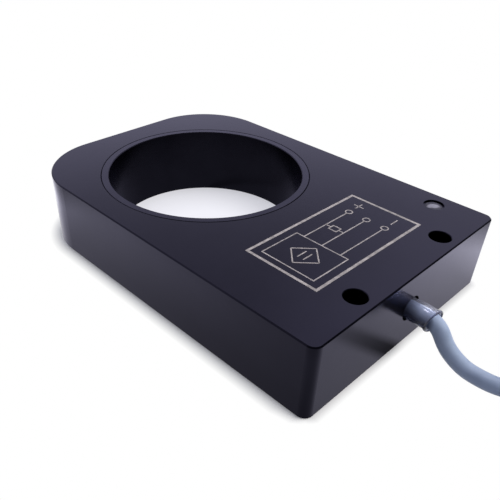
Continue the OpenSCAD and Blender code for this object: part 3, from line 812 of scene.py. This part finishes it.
def floor_finish():
    """White paper that keeps the shadow close to the object and turns plain white away from it."""
    s = Shader("floor")
    s.set(Base_Color=(0.52, 0.54, 0.61, 1), Roughness=0.9, Specular_IOR_Level=0.1)
    parts = s.parts()
    flat = s.flat(parts["X"], parts["Y"])
    # Distance to the outline of the body, which has large round corners at the ring end
    corner = s.span(s.math("GREATER_THAN", parts["Y"], 0.0), CABLE_CORNER_R, RING_CORNER_R, 0.0, 1.0)
    beyond = []
    for axis, low, high in zip(("X", "Y"), body_low, body_high):
        away = s.math("ABSOLUTE", s.math("SUBTRACT", parts[axis], (low + high) / 2))
        past = s.math("ADD", s.math("SUBTRACT", away, (high - low) / 2), corner)
        beyond.append(s.math("MAXIMUM", past, 0.0))
    from_body = s.math("SUBTRACT", s.length(s.flat(*beyond)), corner)
    # The shadow is narrower at the cable end, and thinnest at the corners there
    narrow = s.span(parts["Y"], SHADOW_NARROW, 1.0, END_Y - 2 * MM, END_Y + 7 * MM)
    pinch = s.span(parts["Y"], SHADOW_PINCH, 0.0, END_Y + 4 * MM, END_Y + 5 * MM)
    pinch = s.math("MULTIPLY", pinch, s.math("MINIMUM", *beyond))
    from_coil = s.add("VectorMath", {0: flat, 1: (*COIL_CENTRE, 0)}, operation="DISTANCE").outputs["Value"]
    from_coil = s.math("SUBTRACT", from_coil, COIL_FIRST_R + CABLE_R)
    near = s.math("MINIMUM", s.math("ADD", s.math("MULTIPLY", from_body, narrow), pinch), from_coil)
    shade = s.math("POWER", s.span(near, 1.0, 0.0, 0.0, SHADOW_REACH), SHADOW_CURVE)
    outside = s.math("SUBTRACT", 1.0, s.math("MULTIPLY", shade, SHADOW_DEPTH))
    # The floor seen through the bore stays a little darker
    from_axis = s.length(flat)
    in_bore = s.math("LESS_THAN", from_axis, BORE_R)
    through = s.span(from_axis, BORE_MIDDLE, BORE_EDGE, 0.4 * BORE_R, BORE_R)
    clear = s.math("MAXIMUM", outside, s.math("MULTIPLY", through, in_bore))
    seen = s.math("MULTIPLY", clear, seen_directly(s.tree, "Is Transmission Ray"))
    mirrored = s.add("LightPath").outputs["Is Glossy Ray"]
    share = s.math("MAXIMUM", seen, mirrored)
    # Painted light and shade seen only in reflections: dimmer in front, on the left, by the boot, close to
    # or far from the body, and within the bore
    measures = {"x": parts["X"], "y": parts["Y"], "from_body": from_body}
    level = s.math("SUBTRACT", 1.0, painted_boot_shadow(s, parts))
    for measure, start, end, low, high in PAINTED_FLOOR_LIGHT:
        level = s.math("MULTIPLY", level, s.span(measures[measure], low, high, start, end))
    level = s.math("MINIMUM", level, s.span(in_bore, NO_LIMIT, BORE_PAINTED_SHADE, 0.0, 1.0))
    strength = s.math("ADD", s.math("MULTIPLY", s.math("SUBTRACT", level, 1.0), mirrored), 1.0)
    # Painted light: a lilac tint on the floor inside the bore, for light from the bore's wall
    tint = s.mix(in_bore, (1, 1, 1), (0.93, 0.93, 1.0))
    white = s.add("Emission", {"Color": tint, "Strength": strength}).outputs["Emission"]
    mix = s.add("MixShader", {0: share, 1: s.bsdf.outputs["BSDF"], 2: white}).outputs["Shader"]
    s.put(s.tree.nodes["Material Output"].inputs["Surface"], mix)
    return s.material


def make_floor():
    form = bmesh.new()
    bmesh.ops.create_grid(form, x_segments=1, y_segments=1, size=FLOOR_HALF)
    mesh = mesh_of("floor", form)
    mesh.transform(Matrix.Translation((0, 0, -FLOOR_DROP)))
    mesh.materials.append(floor_finish())
    floor = bpy.data.objects.new("floor", mesh)
    bpy.context.scene.collection.objects.link(floor)


def softbox(name, place, aim, size, power, colour):
    """Square studio lamp that faces a point."""
    lamp = bpy.data.lights.new(name, "AREA")
    lamp.shape = "SQUARE"
    lamp.size = size
    lamp.energy = power
    lamp.color = colour
    holder = bpy.data.objects.new(name, lamp)
    bpy.context.scene.collection.objects.link(holder)
    holder.location = place
    holder.visible_glossy = False
    holder.rotation_mode = "QUATERNION"
    holder.rotation_quaternion = (Vector(aim) - Vector(place)).to_track_quat("-Z", "Y")


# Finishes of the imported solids
dress(body_finish(), "housing")
dress(turned_finish(), "bore_sleeve")
dress(resin_finish(), "potting")
dress(lens_finish(), "light_pipe")
copper = plain_finish("copper", (0.50, 0.20, 0.09), (0.62, 0.28, 0.13), (0.22, 0.35), metallic=1.0,
                      size=0.6)
board = plain_finish("board_green", (0.012, 0.085, 0.03), (0.018, 0.12, 0.045), (0.3, 0.45), size=1.5)
chips = plain_finish("chip_black", (0.012, 0.012, 0.013), (0.02, 0.02, 0.021), (0.5, 0.65))
can = plain_finish("can_silver", (0.55, 0.56, 0.58), (0.68, 0.69, 0.71), (0.25, 0.4), metallic=1.0)
grey_chips = plain_finish("chip_grey", (0.05, 0.05, 0.055), (0.09, 0.09, 0.1), (0.3, 0.5), size=0.8)
tan_chips = plain_finish("chip_tan", (0.25, 0.16, 0.09), (0.36, 0.25, 0.15), (0.4, 0.6), size=0.8)
tin = plain_finish("solder", (0.48, 0.49, 0.51), (0.64, 0.65, 0.67), (0.25, 0.45), metallic=1.0, size=0.5)
lamp_body = plain_finish("lamp_pale", (0.55, 0.52, 0.38), (0.66, 0.63, 0.48), (0.3, 0.45), size=0.6)
crimp = plain_finish("crimp_steel", (0.42, 0.43, 0.45), (0.55, 0.56, 0.58), (0.3, 0.45), metallic=1.0,
                     size=0.8)
core_finish = {
    "brown": plain_finish("core_brown", (0.085, 0.030, 0.012), (0.11, 0.04, 0.017), (0.3, 0.42), size=1.2),
    "black": plain_finish("core_black", (0.01, 0.01, 0.011), (0.017, 0.017, 0.018), (0.3, 0.42), size=1.2),
    "blue": plain_finish("core_blue", (0.018, 0.075, 0.27), (0.025, 0.095, 0.33), (0.3, 0.42), size=1.2),
}
dress(copper, "sensing_coil", "coil_leads")
dress(board, "circuit_board")
dress(chips, "oscillator_chip", "output_transistor", "voltage_regulator", "protection_diodes")
dress(can, "smoothing_capacitor")
dress(grey_chips, "chip_resistors")
dress(tan_chips, "chip_capacitors")
dress(tin, "solder_joints")
dress(lamp_body, "indicator_led")
dress(crimp, "cable_retainer")
for colour in LEAD_NAMES:
    dress(core_finish[colour], "core_" + colour)

# Marking and boot
show("marking", marking_mesh(), marking_finish(), slot="body_black")
boot = show("cable_boot_clear", boot_mesh(), boot_finish(), "cable_boot", slot="boot_clear")
boot.visible_shadow = False

# Cable with its coil, tie, leads and bare tips
jacket_route = cable_route()
cable_curve = wire("cable_line", [jacket_route], CABLE_R, roundness=6)
cable = show("cable_line", cable_curve, jacket_finish(), "cable", "cable_coil", slot="jacket_grey")
tie_finish = plain_finish("tie_black", (0.010, 0.010, 0.011), (0.017, 0.017, 0.018), (0.4, 0.55), size=1.5)
tie = show("cable_tie_strap", tie_mesh(), tie_finish, "cable_tie", slot="tie_black")
strands = []
for place, colour in enumerate(LEAD_NAMES):
    lead = lead_route(place, jacket_route)
    strands += tip_strands(lead)
    curve = wire("lead_line_" + colour, [lead], CORE_R, roundness=4)
    piece = show("lead_line_" + colour, curve, core_finish[colour], "lead_" + colour, slot="core_" + colour)
tips = wire("lead_strands", strands, STRAND_R, roundness=2, steps=2)
show("lead_strands", tips, tin, "lead_tips", slot="solder")

# Studio
make_camera()
make_world()
make_floor()
softbox("key", place=(0.36, -0.44, 0.50), aim=(0, -0.02, 0.01), size=0.6, power=8.4,
        colour=(1.0, 0.93, 0.80))
bpy.context.scene.view_settings.view_transform = "Standard"
